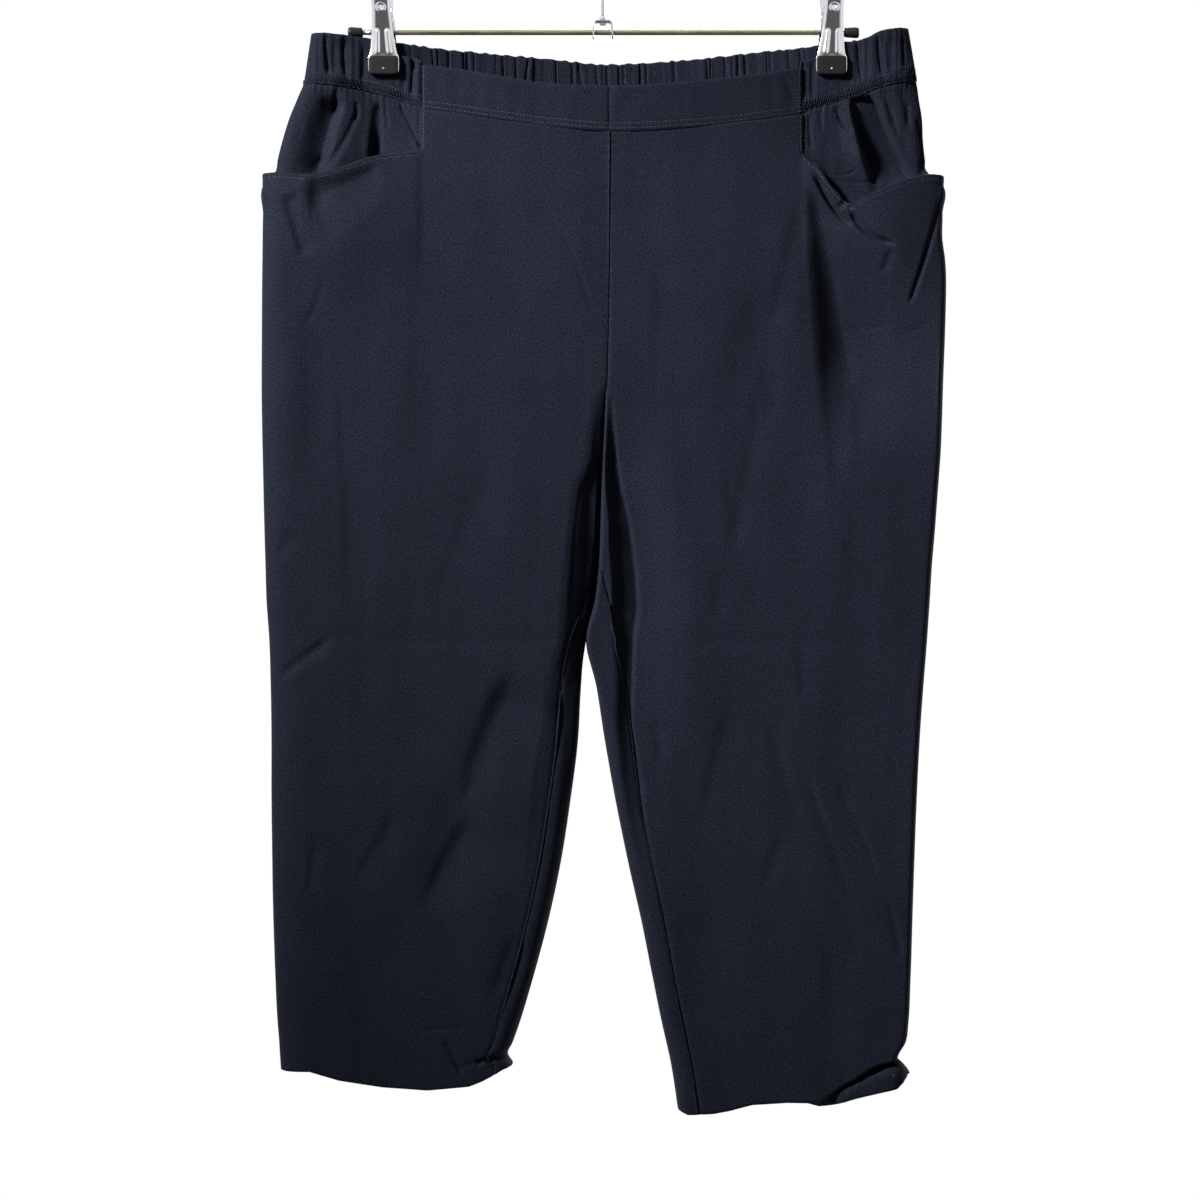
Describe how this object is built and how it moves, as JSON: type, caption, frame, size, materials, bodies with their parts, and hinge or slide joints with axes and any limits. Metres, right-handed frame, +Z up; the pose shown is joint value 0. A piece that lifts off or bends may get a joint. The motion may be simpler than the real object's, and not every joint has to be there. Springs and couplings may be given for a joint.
{
  "type": "capri pants on a clip hanger",
  "caption": "Pull-on capri pants with an elastic gathered waist, flat front band and side pockets, hung flat from a two-clip rod hanger with a swivel hook.",
  "frame": {"origin": "inner top of the hook, where the hanger rests on its rail", "axes": "+Z up, -Y out of the garment's front, +X to the viewer's right when the front is seen"},
  "size_m": [0.5468, 0.0488, 0.946],
  "materials": {
    "stretch_poplin": "plain-weave stretch poplin, near-black navy, faint sheen",
    "gathered_casing": "the same poplin gathered over elastic",
    "chrome_plate": "pressed steel, bright chrome plated",
    "rod_steel": "drawn steel rod with a dull brassy lacquer",
    "spring_steel": "bright spring wire",
    "cap_plastic": "moulded black cap",
    "pad_rubber": "black rubber grip pad"
  },
  "bodies": {
    "root": {"front_left": "stretch_poplin", "front_right": "stretch_poplin", "back_left": "stretch_poplin", "back_right": "stretch_poplin", "hip_yoke_left": "stretch_poplin", "hip_yoke_right": "stretch_poplin", "band_front": "stretch_poplin", "band_side_left": "gathered_casing", "band_side_right": "gathered_casing", "band_back": "gathered_casing", "hook": "chrome_plate", "hook_saddle": "chrome_plate", "clip_plate_front_left": "chrome_plate", "clip_plate_back_left": "chrome_plate", "clip_plate_front_right": "chrome_plate", "clip_plate_back_right": "chrome_plate", "hanger_rod": "rod_steel", "clip_spring_left": "spring_steel", "clip_spring_right": "spring_steel", "rod_cap_left": "cap_plastic", "rod_cap_right": "cap_plastic", "clip_pad_front_left": "pad_rubber", "clip_pad_back_left": "pad_rubber", "clip_pad_front_right": "pad_rubber", "clip_pad_back_right": "pad_rubber"}
  },
  "joints": []
}
